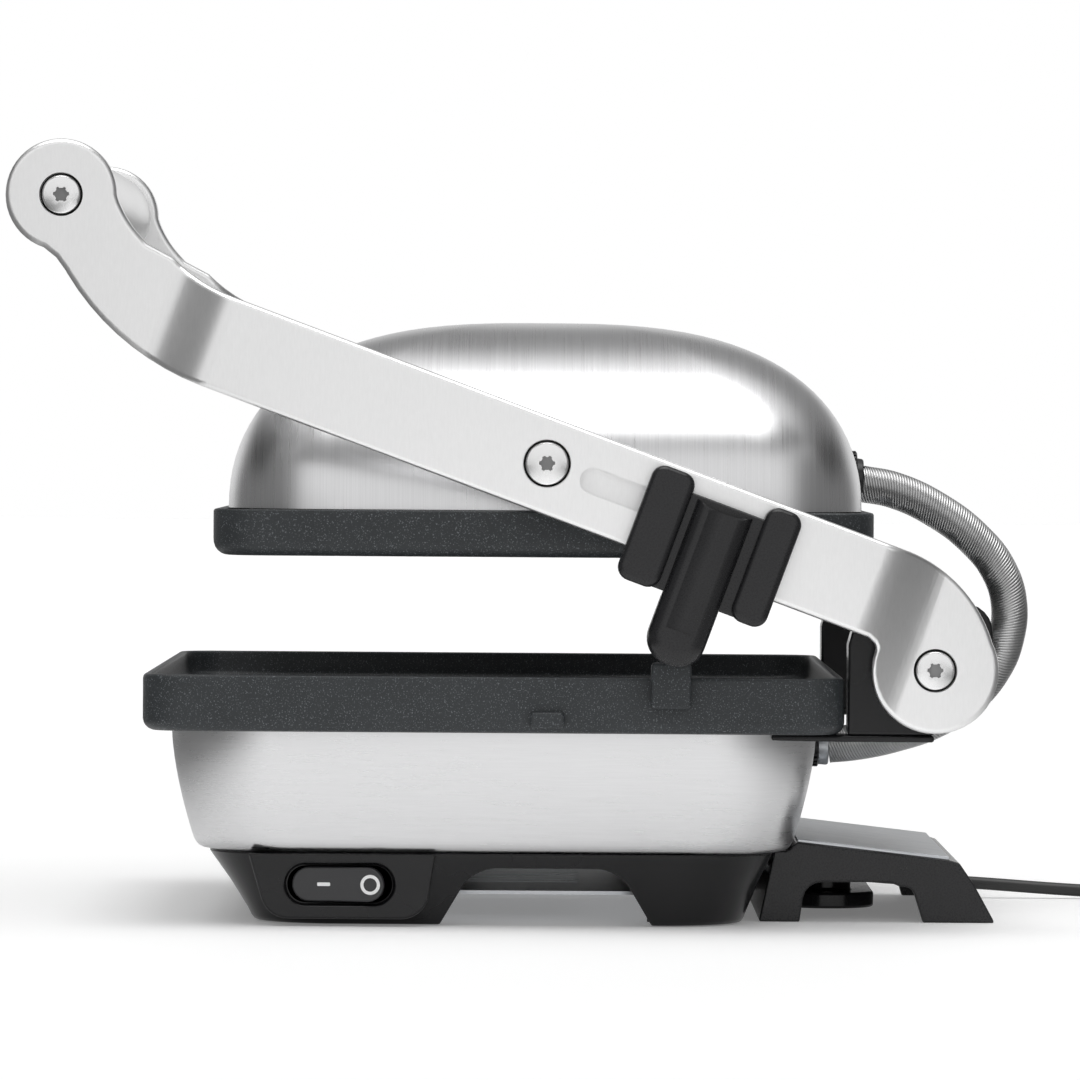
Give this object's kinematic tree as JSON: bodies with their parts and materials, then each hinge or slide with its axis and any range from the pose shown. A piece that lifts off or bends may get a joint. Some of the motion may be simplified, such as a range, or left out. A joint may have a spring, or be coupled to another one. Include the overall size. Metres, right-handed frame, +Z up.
{
  "type": "panini press",
  "caption": "Panini press: fixed lower plate on a base with rocker switch, level floating upper plate on swinging arms with handle, height slider, braided conduit.",
  "frame": {"origin": "on the table, under the middle of the whole press without its lead", "axes": "+Z up, -Y towards the handle at the front, +Y towards the hinge, +X towards the side with the switch and the height slider"},
  "size_m": [0.336, 0.4462, 0.266],
  "materials": {
    "black_gloss": "glossy moulded black",
    "black_satin": "satin moulded black",
    "rocker_black": "black rocker",
    "inner_plastic": "moulded switch case",
    "brushed_steel": "brushed stainless",
    "brushed_aluminium": "brushed, lightly blasted",
    "coated_plate": "die-cast, speckled non-stick coating",
    "bolt_steel": "turned bolt head",
    "zinc_steel": "zinc-plated steel",
    "shaft_steel": "ground steel",
    "heater_steel": "heater sheath",
    "reflector_sheet": "bright sheet",
    "ceramic_white": "ceramic or steatite",
    "bronze": "sintered bronze",
    "rubber_black": "soft rubber",
    "lead_black": "flexible lead, black",
    "steel_braid": "stainless braid"
  },
  "bodies": {
    "base": {"base_tray": "black_gloss", "bottom_pan": "zinc_steel", "base_screws": "zinc_steel", "rubber_feet": "rubber_black", "lower_housing": "brushed_steel", "lower_plate": "coated_plate", "lower_element": "heater_steel", "lower_reflector": "reflector_sheet", "lower_thermostat": "ceramic_white", "thermal_cutout": "ceramic_white", "terminal_block": "ceramic_white", "switch_panel": "black_gloss", "switch_body": "inner_plastic", "rear_deck": "black_gloss", "rear_deck_cover": "brushed_aluminium", "deck_screws": "zinc_steel", "cord_spool": "black_satin", "hinge_bracket_left": "black_satin", "hinge_bracket_right": "black_satin", "hinge_bushes": "bronze", "bracket_screws": "zinc_steel", "conduit_gland_lower": "black_satin", "strain_relief": "lead_black", "cord": "lead_black", "cord_coil": "lead_black", "cord_tail": "lead_black", "plug": "lead_black", "flex_conduit": "steel_braid"},
    "switch_rocker": {"rocker": "rocker_black"},
    "hinge_shaft": {"hinge_shaft": "shaft_steel", "hinge_bolts": "bolt_steel"},
    "arms": {"arm_right": "brushed_aluminium", "arm_left": "brushed_aluminium", "handle_tube": "brushed_aluminium", "handle_rod": "zinc_steel", "handle_caps": "black_satin", "handle_bolts": "bolt_steel", "pivot_bolts": "bolt_steel", "pivot_washers": "black_satin"},
    "lid": {"upper_housing": "brushed_steel", "upper_plate": "coated_plate", "upper_element": "heater_steel", "upper_reflector": "reflector_sheet", "upper_thermostat": "ceramic_white", "pivot_brackets": "zinc_steel", "upper_screws": "zinc_steel", "conduit_gland_upper": "black_satin"},
    "slider": {"height_slider": "black_satin", "slider_guide": "zinc_steel", "slider_back_plate": "zinc_steel", "slider_screw": "bolt_steel", "slider_spring": "zinc_steel"}
  },
  "joints": [
    {"name": "arm_open", "type": "hinge", "parent": "base", "child": "hinge_shaft", "pos_m": [0, 0.1372, 0.0889], "axis": [-1, 0, 0], "range_deg": [0, 75], "deforming": ["flex_conduit"]},
    {"name": "arm_press", "type": "hinge", "parent": "hinge_shaft", "child": "arms", "pos_m": [0, 0.1372, 0.0889], "axis": [-1, 0, 0], "range_deg": [-19.9, 0]},
    {"name": "lid_level", "type": "hinge", "parent": "arms", "child": "lid", "pos_m": [0, 0.006, 0.1578], "axis": [-1, 0, 0], "range_deg": [0, 19.9]},
    {"name": "slider_move", "type": "slide", "parent": "arms", "child": "slider", "axis": [0, -0.9388, 0.3445], "range_m": [0, 0.035]},
    {"name": "rocker_tip", "type": "hinge", "parent": "base", "child": "switch_rocker", "pos_m": [0.117, -0.0634, 0.0143], "axis": [0, 0, 1], "range_deg": [0, 14]}
  ],
  "couplings": [
    {"joint": "lid_level", "follows": "arm_press", "ratio": -1}
  ]
}
